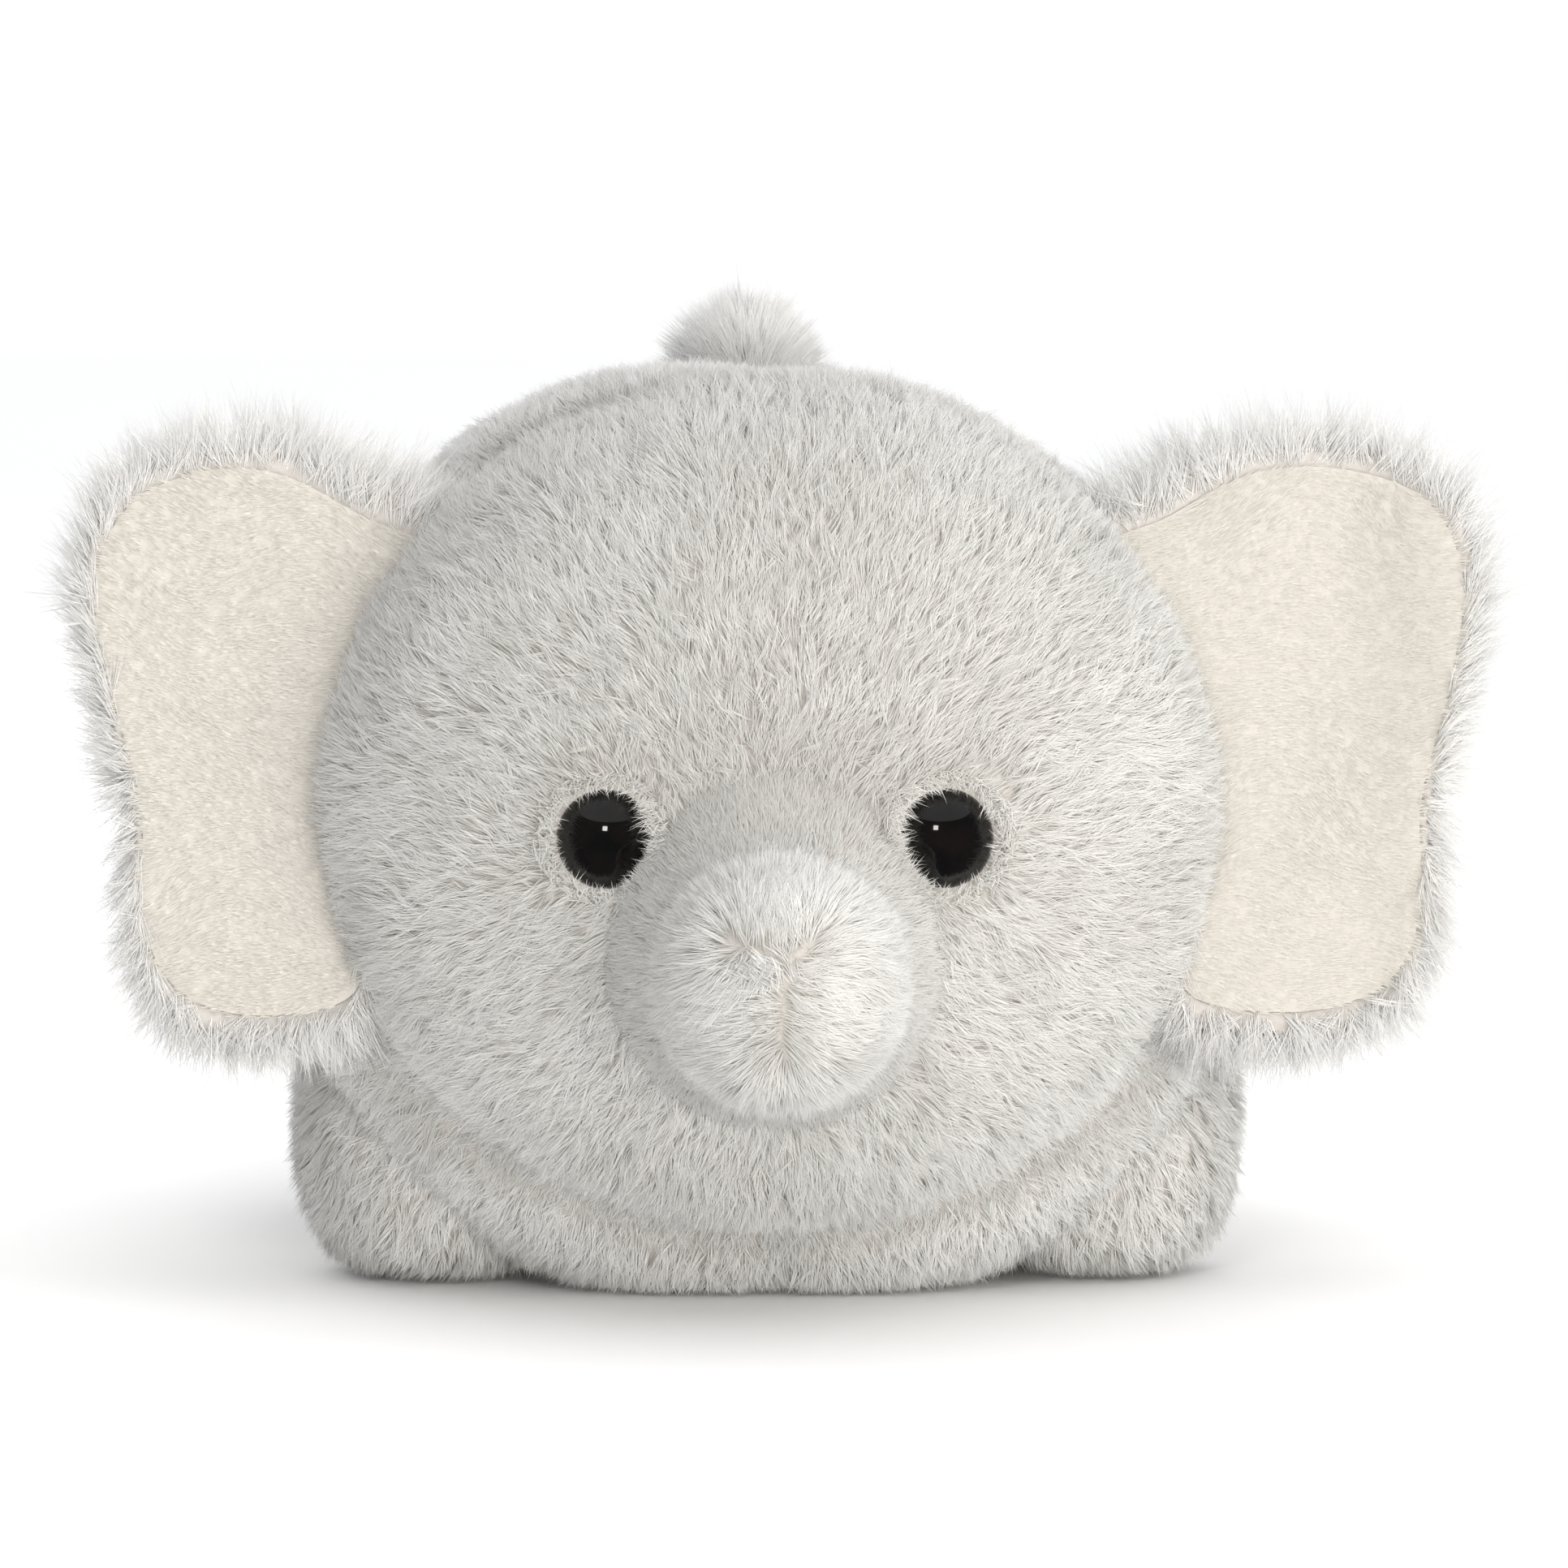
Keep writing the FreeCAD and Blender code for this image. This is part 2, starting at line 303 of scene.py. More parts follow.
PANELS = ("face_skin_left", "face_skin_right", "back_skin_left", "back_skin_right", "belly_skin")


def make_body():
    """The whole body's skin, stuffed between its seams. Its faces carry their panel's number."""
    turn = circle(AROUND)
    seam = seam_reach(turn)
    rows = [seam * (i / FACE_RINGS) ** 0.9 for i in range(1, FACE_RINGS + 1)]
    rows += [seam + (1 - seam) * (i / BODY_RINGS) for i in range(1, BODY_RINGS)]
    rings = [body_points(row, turn) for row in rows]
    poles = body_points(np.array([0.0, 1.0]), np.array([0.0, 0.0]))
    faces = tube_faces(len(rows), AROUND, True, True)
    body = new_object("body_form", np.concatenate(rings + [poles]), faces)

    ring = np.repeat(np.arange(len(rows)), AROUND)
    column = np.tile(np.arange(AROUND), len(rows))
    face_seam = ring == FACE_RINGS - 1
    behind = ring >= FACE_RINGS - 1
    back_seam = behind & (column == 0)
    belly_seams = behind & ((column == BELLY_SEAM) | (column == AROUND - BELLY_SEAM))
    pinned = np.concatenate([face_seam | back_seam | belly_seams, [False, True]])

    panel = []
    for face in faces:
        ringed = [v for v in face if v < len(ring)]
        columns = {v % AROUND for v in ringed}
        low = AROUND - 1 if columns == {0, AROUND - 1} else min(columns)
        if max(ringed) // AROUND < FACE_RINGS:
            panel.append(0 if low < AROUND // 2 else 1)
        elif low < BELLY_SEAM:
            panel.append(2)
        elif low >= AROUND - BELLY_SEAM:
            panel.append(3)
        else:
            panel.append(4)
    number = body.data.attributes.new("panel", "INT", "FACE")
    number.data.foreach_set("value", panel)

    gathers = coordinates(body.data)
    normals = vertex_normals(body.data)
    behind = behind_seam(gathers)
    shrink = FACE_GROOVE * bump(behind, np.where(behind < 0, GROOVE_BEFORE, GROOVE_BEHIND))
    shrink += SPINE_GROOVE * bump(gathers[:, 0], SPINE_WIDE) * ease(behind, 0, 8 * MM)
    move_to(body, gathers - normals * shrink[:, None])
    stuff(body, pinned, *BODY_STUFFING)
    lift_off_floor(body, coordinates(body.data), SKIN_LOW)
    return refine(body)


def lift_off_floor(obj, points, low):
    """Moves the object's points, and none lower than a height."""
    points[:, 2] = np.maximum(points[:, 2], low)
    move_to(obj, points)


def cut_out(form, wanted, name):
    """The wanted faces of a form as their own object, and the form's normals at its vertices."""
    mesh = form.data
    faces = [tuple(p.vertices) for p, want in zip(mesh.polygons, wanted) if want]
    used = sorted({v for face in faces for v in face})
    place = {v: i for i, v in enumerate(used)}
    faces = [tuple(place[v] for v in face) for face in faces]
    piece = new_object(name, coordinates(mesh)[used], faces)
    return shade_smooth(piece), vertex_normals(mesh)[used]


def filling(skin, name, node, depth):
    """The wadding just inside a closed skin, in place of the CAD's."""
    outside = coordinates(skin.data)
    inside = new_object(name, outside, [tuple(p.vertices) for p in skin.data.polygons])
    lift_off_floor(inside, outside - vertex_normals(inside.data) * depth, WADDING_LOW)
    shade_smooth(inside)
    inside.data.materials.append(FIBRE)
    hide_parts(node)
    return inside


# ---- fur
class Surface:
    """A skin's triangles, ready for pile to be sown on."""

    def __init__(self, obj, normals=None):
        mesh = obj.data
        mesh.calc_loop_triangles()
        triangles = np.empty(len(mesh.loop_triangles) * 3, dtype=np.int32)
        mesh.loop_triangles.foreach_get("vertices", triangles)
        self.triangles = triangles.reshape(-1, 3)
        self.points = coordinates(mesh)
        self.normals = vertex_normals(mesh) if normals is None else normals
        corner = self.points[self.triangles]
        edges = corner[:, 1] - corner[:, 0], corner[:, 2] - corner[:, 0]
        self.areas = lengths(np.cross(*edges)) / 2

    def part(self, chosen):
        """The same surface with only the chosen triangles."""
        some = copy.copy(self)
        some.triangles = self.triangles[chosen]
        some.areas = self.areas[chosen]
        return some

    def sow(self, per_mm2, rng):
        """Random places on the surface, and the normals there."""
        count = int(self.areas.sum() / MM**2 * per_mm2)
        picked = rng.choice(len(self.areas), size=count, p=self.areas / self.areas.sum())
        a, b = rng.random(count), rng.random(count)
        flip = a + b > 1
        a[flip], b[flip] = 1 - a[flip], 1 - b[flip]
        weights = np.stack([1 - a - b, a, b], axis=1)[:, :, None]
        corner = self.triangles[picked]
        points = (self.points[corner] * weights).sum(axis=1)
        normals = unit((self.normals[corner] * weights).sum(axis=1))
        return points, normals


BENT = ((0, 2, 1), (0, 1, 4, 3), (1, 2, 5, 4), (2, 0, 3, 5), (3, 4, 6), (4, 5, 6), (5, 3, 6))
STRAIGHT = ((0, 2, 1), (0, 1, 3), (1, 2, 3), (2, 0, 3))


def strands_object(name, root, middle, tip, width, tint, soft_normal, roundness):
    """One mesh of closed three-sided hairs, straight ones where there is no middle. UVs hold
    each hair's tint and the way along it."""
    count = len(root)
    stations, shape = [(root, 1.0, 0.02)], STRAIGHT
    if middle is not None:
        stations, shape = stations + [(middle, 0.85, 0.5)], BENT
    corners = 3 * len(stations) + 1
    axis = unit(tip - root)
    side = unit(np.cross(axis, RNG.normal(size=(count, 3))))
    other = np.cross(axis, side)
    points = np.empty((count, corners, 3))
    normals = np.empty((count, corners, 3))
    along = []
    for number, (place, thick, way) in enumerate(stations):
        for corner in range(3):
            angle = 2 * math.pi * corner / 3
            out = side * math.cos(angle) + other * math.sin(angle)
            points[:, 3 * number + corner] = place + out * (width * thick)[:, None]
            normals[:, 3 * number + corner] = unit(out * roundness + soft_normal)
            along.append(way)
    along.append(0.98)
    points[:, -1] = tip
    normals[:, -1] = soft_normal
    points[:, :, 2] = np.maximum(points[:, :, 2], HAIR_LOW)

    pattern = np.concatenate([np.array(face) for face in shape])
    sizes = np.array([len(face) for face in shape])
    loops = (pattern[None] + corners * np.arange(count)[:, None]).ravel().astype(np.int32)
    totals = np.tile(sizes, count)
    starts = np.concatenate([[0], np.cumsum(totals)[:-1]]).astype(np.int32)
    mesh = bpy.data.meshes.new(name)
    mesh.vertices.add(count * corners)
    mesh.vertices.foreach_set("co", points.ravel().astype(np.float32))
    mesh.loops.add(len(loops))
    mesh.loops.foreach_set("vertex_index", loops)
    mesh.polygons.add(len(totals))
    mesh.polygons.foreach_set("loop_start", starts)
    mesh.polygons.foreach_set("use_smooth", np.ones(len(totals), dtype=bool))
    mesh.update(calc_edges=True)
    ways = np.array(along)[pattern]
    tints = np.repeat(np.clip(tint, 0.01, 0.99), len(pattern))
    uv = np.stack([tints, np.tile(ways, count)], axis=1)
    layer = mesh.uv_layers.new(name="OFBake")
    layer.data.foreach_set("uv", uv.ravel().astype(np.float32))
    mesh.normals_split_custom_set_from_vertices(normals.reshape(-1, 3))
    return linked(name, mesh)


def pile(name, surface, flow, look, keep=None, size=None, shade=None, stand=None):
    """Fur on a surface. At points, flow gives the way the pile is brushed, keep the chance of
    a tuft, size a factor for its length, shade a change of tint, and stand how upright it is,
    from 0 to 1."""
    rng = np.random.default_rng(sum(name.encode()))
    root, normal = surface.sow(look["tufts"], rng)
    if keep is not None:
        stay = rng.random(len(root)) < keep(root)
        root, normal = root[stay], normal[stay]
    brushed = flow(root)
    brushed = unit(brushed - (brushed * normal).sum(axis=1, keepdims=True) * normal)
    sideways = np.cross(normal, brushed)
    wander = look["wander"]
    swing = rng.normal(0, look["stray"], len(root)) + 0.4 * wander * waves(root, 11 * MM, 9)
    brushed = unit(brushed * np.cos(swing)[:, None] + sideways * np.sin(swing)[:, None])
    length = look["length"] * (1 + rng.normal(0, 0.08, len(root)) + 0.08 * waves(root, 14 * MM, 3))
    if size is not None:
        length = length * size(root)
    low = math.radians(look["lean"]) + rng.normal(0, 0.09, len(root))
    low = low + 0.12 * wander * waves(root, 8 * MM, 5)
    high = low + math.radians(look["curl"])
    if stand is not None:
        low, high = low * (1 - stand(root)), high * (1 - stand(root))
    hairs = look["hairs"]

    def spread(values):
        return np.repeat(values, hairs, axis=0)

    def reach(angle, share):
        way = normal * np.cos(angle)[:, None] + brushed * np.sin(angle)[:, None]
        return way * (length * share)[:, None]

    halfway = reach(low, 0.5)
    whole = halfway + reach(high, 0.5)
    count = len(root) * hairs
    radius = look["spread"] * np.sqrt(rng.random(count))[:, None]
    angle = rng.uniform(0, 2 * math.pi, count)[:, None]
    away = (spread(brushed) * np.cos(angle) + spread(sideways) * np.sin(angle)) * radius
    vary = rng.normal(1, look["uneven"], count)[:, None]
    fine_root = spread(root) + away - spread(normal) * 0.4 * MM
    fine_middle = None
    if look["bent"]:
        fine_middle = spread(root) + spread(halfway) * vary + away * 0.85
    loose = rng.normal(0, look["frizz"], (count, 3))
    fine_tip = spread(root) + spread(whole) * vary + away * look["gather"] + loose
    mottle = 0.12 * waves(root, 30 * MM, 11) + 0.09 * waves(root, 6 * MM, 12)
    tint = 0.5 + look["shade"] + (mottle + rng.normal(0, 0.08, len(root))) * look["mottle"]
    if shade is not None:
        tint = tint + shade(root)
    tint = spread(tint) + rng.normal(0, look["grain"], count)
    width = look["width"] * rng.uniform(0.75, 1.25, count)
    facing = spread(normal) * look["facing"]
    return strands_object(name, fine_root, fine_middle, fine_tip, width, tint, facing, look["round"])


def look(**changes):
    """What a patch of plain body pile is like, with changes."""
    base = {
        "tufts": 0.9, "hairs": 8, "length": 5.8 * MM, "width": 0.12 * MM, "lean": 50, "curl": 14,
        "spread": 1.0 * MM, "gather": 0.35, "frizz": 0.22 * MM, "stray": 0.4, "shade": 0.0,
        "uneven": 0.13, "bent": False, "mottle": 1.0, "facing": 1.0, "round": 0.45, "wander": 1.0,
        "grain": 0.12,
    }
    return {**base, **changes}


# ---- materials
def material(name):
    made = bpy.data.materials.new(name)
    made.use_nodes = True
    nodes = made.node_tree.nodes
    return made, nodes, nodes["Principled BSDF"]


def wire(source, output, target, socket):
    source.id_data.links.new(source.outputs[output], target.inputs[socket])


def dial(node, **values):
    """Sets a node's sockets. A socket's spaces are written as underscores."""
    for socket, value in values.items():
        node.inputs[socket.replace("_", " ")].default_value = value


def ramp(nodes, stops):
    node = nodes.new("ShaderNodeValToRGB")
    elements = node.color_ramp.elements
    while len(elements) < len(stops):
        elements.new(0.5)
    for element, (position, colour) in zip(elements, stops):
        element.position = position
        element.color = (*colour, 1.0)
    return node


def mottle(nodes, shader, scale, dark, light, place=None):
    """Colours a surface by noise, from dark to light. Each is a position and a colour."""
    noise = nodes.new("ShaderNodeTexNoise")
    dial(noise, Scale=scale)
    if place:
        wire(nodes.new("ShaderNodeTexCoord"), place, noise, "Vector")
    colours = ramp(nodes, [dark, light])
    wire(noise, "Fac", colours, "Fac")
    wire(colours, "Color", shader, "Base Color")
    return noise


def fur_material(name, root, dark, light, sheen=0.25):
    """Pile: darker and greyer at the root, each hair a little different."""
    made, nodes, shader = material(name)
    uv = nodes.new("ShaderNodeUVMap")
    uv.uv_map = "OFBake"
    parts = nodes.new("ShaderNodeSeparateXYZ")
    wire(uv, "UV", parts, 0)
    hair = ramp(nodes, [(0.15, dark), (0.85, light)])
    wire(parts, "X", hair, "Fac")
    rise = ramp(nodes, [(0.0, (0, 0, 0)), (0.75, (1, 1, 1))])
    rise.color_ramp.interpolation = "EASE"
    wire(parts, "Y", rise, "Fac")
    mix = nodes.new("ShaderNodeMix")
    mix.data_type = "RGBA"
    dial(mix, A=(*root, 1.0))
    wire(rise, "Color", mix, "Factor")
    wire(hair, "Color", mix, "B")
    wire(mix, "Result", shader, "Base Color")
    dial(shader, Roughness=0.85, Specular_IOR_Level=0.2, Sheen_Weight=sheen, Sheen_Roughness=0.5)
    return made


def cloth_material(name, dark, light, scale, bump_strength, rough=0.9, sheen=0.3):
    """Woven or knitted backing: mottled colour and a fine bump."""
    made, nodes, shader = material(name)
    noise = mottle(nodes, shader, scale, (0.3, dark), (0.7, light), "Object")
    dial(noise, Detail=4)
    raised = nodes.new("ShaderNodeBump")
    dial(raised, Strength=bump_strength, Distance=0.4 * MM)
    wire(noise, "Fac", raised, "Height")
    wire(raised, "Normal", shader, "Normal")
    dial(shader, Roughness=rough, Specular_IOR_Level=0.2, Sheen_Weight=sheen)
    return made


FUR_ROOT = (0.44, 0.427, 0.40)
FUR_DARK = (0.583, 0.577, 0.553)
FUR_LIGHT = (0.832, 0.832, 0.818)
FUR = fur_material("fur", FUR_ROOT, FUR_DARK, FUR_LIGHT)
# The pile of the ear fringe, also used on the tail, is much paler than the body's: painted light
# standing in for light shining through the thin hairs.
EAR_FUR = fur_material("ear_fur", (0.74, 0.73, 0.715), (0.80, 0.795, 0.785), (0.95, 0.95, 0.945))
VELOUR = fur_material(
    "ear_velour", (0.585, 0.555, 0.507), (0.645, 0.618, 0.57), (0.76, 0.738, 0.69), 0.1
)
BACKING = cloth_material("fur_backing", (0.44, 0.415, 0.39), (0.52, 0.495, 0.47), 900, 0.2)
LINING = cloth_material("lining_backing", (0.50, 0.475, 0.437), (0.55, 0.524, 0.484), 1100, 0.1)
FIBRE = cloth_material("fibre_filling", (0.72, 0.72, 0.71), (0.88, 0.88, 0.87), 300, 0.9)


def bend(pieces):
    """Bakes each padded piece's placement into its mesh."""
    for piece in pieces:
        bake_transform(piece)


def dress(obj, made, body=None):
    obj.data.materials.clear()
    obj.data.materials.append(made)
    if body:
        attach(obj, body)
    return obj


# ---- eyes
def eye_spots():
    """Where each eye sits on the ball of the face, and the way it looks."""
    ball = np.array([0, FRONT_Y + FACE_BALL, CENTRE_Z])
    spots = {}
    for name in ("left", "right"):
        low, high = (np.array(corner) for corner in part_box("eye_washer_" + name))
        ahead = unit((low + high) / 2 - ball)
        spots[name] = (ball + ahead * FACE_BALL, ahead)
    return spots


EYES = eye_spots()


def make_eye(name):
    """A glossy moulded eye: a rounded dome, a thin rim, and the shank behind it."""
    spot, ahead = EYES[name]
    rim, rise, flange, shank = 8.0, 6.0, 1.2, 12.5
    ball = (rim**2 + rise**2) / (2 * rise)
    outline = [(2.5, -shank), (2.5, 0), (7.6, 0), (rim, 0.35), (rim, 0.95), (7.85, flange + 0.12)]
    reach = math.asin(rim / ball)
    for step in range(1, 15):
        angle = reach * (1 - step / 15)
        outline.append((ball * math.sin(angle), flange + rise - ball + ball * math.cos(angle)))
    side = unit(np.cross(ahead, [0, 0, 1.0]))
    up = np.cross(side, ahead)
    around = 64
    turn = circle(around)
    rings = []
    for r, h in outline:
        ring = np.cos(turn)[:, None] * side + np.sin(turn)[:, None] * up
        rings.append(spot + ahead * h * MM + ring * r * MM)
    poles = [[spot - ahead * shank * MM], [spot + ahead * (flange + rise) * MM]]
    faces = tube_faces(len(outline), around, True, True)
    obj = new_object("eye_dome_" + name, np.concatenate(rings + poles), faces)
    shade_smooth(obj)
    made, nodes, shader = material("eye_plastic_" + name)
    black, brown_black = (0.001, 0.001, 0.001), (0.004, 0.0025, 0.002)
    mottle(nodes, shader, 260, (0.35, black), (0.7, brown_black), "Object")
    dial(shader, Roughness=0.06, Specular_IOR_Level=0.5)
    dress(obj, made, "torso")
    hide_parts("eye_" + name)


# ---- body pieces
EYE_RIM = 8 * MM
BARE_AT_EYE, BARE_AT_TRUNK = 9.2 * MM, 24 * MM
LASHES_FROM, LASHES_TO = 8.3 * MM, 10.6 * MM


def seen_near(spot, points, width, squash=1.0):
    """1 at a spot seen from in front, and 0 away from it."""
    return bump(lengths((points - spot) * [1, 0, squash]), width)


def eye_ring(points, radius, width):
    """1 round each eye at a radius, and 0 away from there."""
    return sum(bump(lengths(points - spot) - radius, width) for spot, _ in EYES.values())


def face_flow(points):
    """Brushed outwards from between the eyes and the trunk, away from each eye, and down
    below the trunk."""
    out = unit((points - [0, 0, 66 * MM]) * [1, 0, 1])
    for spot, _ in EYES.values():
        near = 0.75 * seen_near(spot, points, 12 * MM)[:, None]
        out = out * (1 - near) + unit((points - spot) * [1, 0, 1]) * near
    return out + 0.35 * waves(points, 30 * MM, 21)[:, None] * [0.6, 0, 1.0]


def face_keep(points):
    """No pile under the eyes or behind the trunk."""
    keep = np.ones(len(points))
    for spot, _ in EYES.values():
        keep[lengths(points - spot) < BARE_AT_EYE] = 0
    off = lengths((points - TRUNK_PIVOT) * [1, 0, 1])
    keep[(off < BARE_AT_TRUNK) & (points[:, 1] < SEAM_TOP_Y)] = 0
    return keep


def face_size(points):
    """Shorter pile round the eyes and at the seam."""
    size = 1 - 0.5 * bump(behind_seam(points), 5.5 * MM)
    return np.maximum(size - 0.12 * eye_ring(points, EYE_RIM, 4 * MM), 0.35)


def crest(points):
    """1 along the top of the face seam, where the pile stands up, and 0 away from it."""
    return bump(behind_seam(points), 3 * MM) * ease(points[:, 2], 95 * MM, 120 * MM)


def face_stand(points):
    """The pile stands up round the eyes, and hides their rims, and along the seam's top."""
    return np.clip(0.55 * eye_ring(points, EYE_RIM, 3.5 * MM) + 0.5 * crest(points), 0, 1)


def face_tone_and_painted_light(points):
    """Darker over the forehead and above the trunk, with painted shadow round the eyes and a painted
    highlight that makes the pile paler at the seam.
    """
    forehead = seen_near([4 * MM, 0, 96 * MM], points, 30 * MM)
    bridge = seen_near([0, 0, 80 * MM], points, 13 * MM, 1.2)
    sockets = eye_ring(points, 9 * MM, 3 * MM)
    rim = bump(behind_seam(points), 7 * MM)
    # rim and crest paint a highlight along the seam, and sockets paints shadow round each eye.
    return 0.14 * rim + 0.4 * crest(points) - 0.2 * forehead - 0.28 * bridge - 0.15 * sockets


def back_tone_and_painted_light(points):
    """A little paler all over, with painted shadow in the groove just behind the seam and a painted
    highlight at its crest.
    """
    behind = behind_seam(points)
    return 0.1 + 0.2 * bump(behind, 1.5 * MM) - 0.34 * bump(behind - 5 * MM, 3 * MM)


def belly_painted_shade_and_light(points):
    """Darker by painted shadow in the groove under the face, and paler at the very bottom in front
    by painted light against the floor's shadow.
    """
    behind = behind_seam(points)
    # bottom marks where painted light lifts the pile near the floor.
    bottom = ease(-points[:, 1], 20 * MM, 50 * MM) * (1 - ease(points[:, 2], 12 * MM, 28 * MM))
    return 0.4 * bottom - 0.45 * bump(behind - 2 * MM, 3.5 * MM)


def build_lashes(name, surface):
    """The pile that stands round an eye and bends over its rim."""
    spot = EYES[name][0]

    def keep(points):
        far = lengths(points - spot)
        return ((far > LASHES_FROM) & (far < LASHES_TO)).astype(float)

    def flow(points):
        return unit(spot - points)

    def size(points):
        """Longer at the sides than above and below the eye."""
        return 0.6 + 0.42 * unit((points - spot) * [1, 0, 1])[:, 0] ** 2

    # shade=-0.22 paints shadow on the pile round the eye.
    ring = look(
        tufts=4.0, hairs=4, length=4.9 * MM, lean=6, curl=40, bent=True, stray=0.7, spread=0.7 * MM,
        gather=1.0, width=0.075 * MM, uneven=0.28, frizz=0.4 * MM, shade=-0.22,
    )
    return pile("face_fur_eye_" + name, surface, flow, ring, keep, size)


def back_flow(points):
    """Brushed backwards and a little down, swaying from side to side."""
    return [0.0, 1.0, -0.25] + 0.3 * waves(points, 40 * MM, 31)[:, None] * [1, 0, 0]


def floor_keep(points):
    """Less pile where the belly and the soles press on the floor."""
    return 0.3 + 0.7 * ease(points[:, 2], 0.8 * MM, 2.5 * MM)


FACE_PILE = look(tufts=1.15, hairs=7, length=5.4 * MM, gather=0.45, width=0.115 * MM)
NEAR_PILE = look(tufts=1.1, hairs=7, length=4.8 * MM, gather=0.5, width=0.115 * MM, lean=54)
BACK_PILE = look(tufts=0.4, length=6 * MM, width=0.19 * MM, lean=58)
BELLY_PILE = look(tufts=0.45, length=5.5 * MM, width=0.18 * MM)
NEAR_SEAM = 36 * MM
# For each kind of panel: the flow, the pile in front and elsewhere, keep, shade and stand
PANEL_PILES = {
    "face": (face_flow, FACE_PILE, FACE_PILE, face_keep, face_tone_and_painted_light, face_stand),
    "back": (back_flow, NEAR_PILE, BACK_PILE, None, back_tone_and_painted_light, None),
    "belly": (back_flow, NEAR_PILE, BELLY_PILE, floor_keep, belly_painted_shade_and_light, None),
}


def halves(values, areas):
    """Which triangles lie below and above the value that halves the area."""
    order = np.argsort(values)
    reach = np.cumsum(areas[order])
    middle = values[order][np.searchsorted(reach, reach[-1] / 2)]
    return values < middle, values >= middle


def panel_parts(name, whole):
    """A panel's surface in parts, so that no piece of pile is too heavy: a face panel's in two
    by height, and another's in one near the face seam and two behind it."""
    middle = whole.points[whole.triangles].mean(axis=1)
    if name.startswith("face"):
        return [whole.part(half) for half in halves(middle[:, 2], whole.areas)]
    front = behind_seam(middle) < NEAR_SEAM
    rear = whole.part(~front)
    rear_parts = [rear.part(half) for half in halves(middle[~front, 1], rear.areas)]
    return [whole.part(front)] + rear_parts


def build_body():
    body = make_body()
    panel_of = np.empty(len(body.data.polygons), dtype=np.int32)
    body.data.attributes["panel"].data.foreach_get("value", panel_of)
    wad = filling(body, "body_wadding", "body_stuffing", 4.5 * MM)
    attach(wad, "torso")
    for number, name in enumerate(PANELS):
        panel, normals = cut_out(body, panel_of == number, name)
        dress(panel, BACKING, "torso")
        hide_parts(name.replace("skin", "panel"))
        fur_name = name.replace("skin", "fur")
        whole = Surface(panel, normals)
        furs = [build_lashes(name.split("_")[-1], whole)] if name.startswith("face") else []
        flow, front_nap, nap, keep, shade, stand = PANEL_PILES[name.split("_")[0]]
        for part, surface in enumerate(panel_parts(name, whole), 1):
            chosen = front_nap if part == 1 else nap
            part_name = f"{fur_name}_{part}"
            furs.append(pile(part_name, surface, flow, chosen, keep, face_size, shade, stand))
        for fur in furs:
            dress(fur, FUR, "torso")
    bpy.data.objects.remove(body)


# ---- trunk
def nearest_on_line(points, line):
    """The nearest point of a bent line to each point, and how far off it is."""
    best, least = points, np.full(len(points), np.inf)
    for start, stop in zip(line[:-1], line[1:]):
        along = stop - start
        share = np.clip((points - start) @ along / (along @ along), 0, 1)[:, None]
        spot = start + share * along
        far = lengths(points - spot)
        best = np.where((far < least)[:, None], spot, best)
        least = np.minimum(far, least)
    return best, least


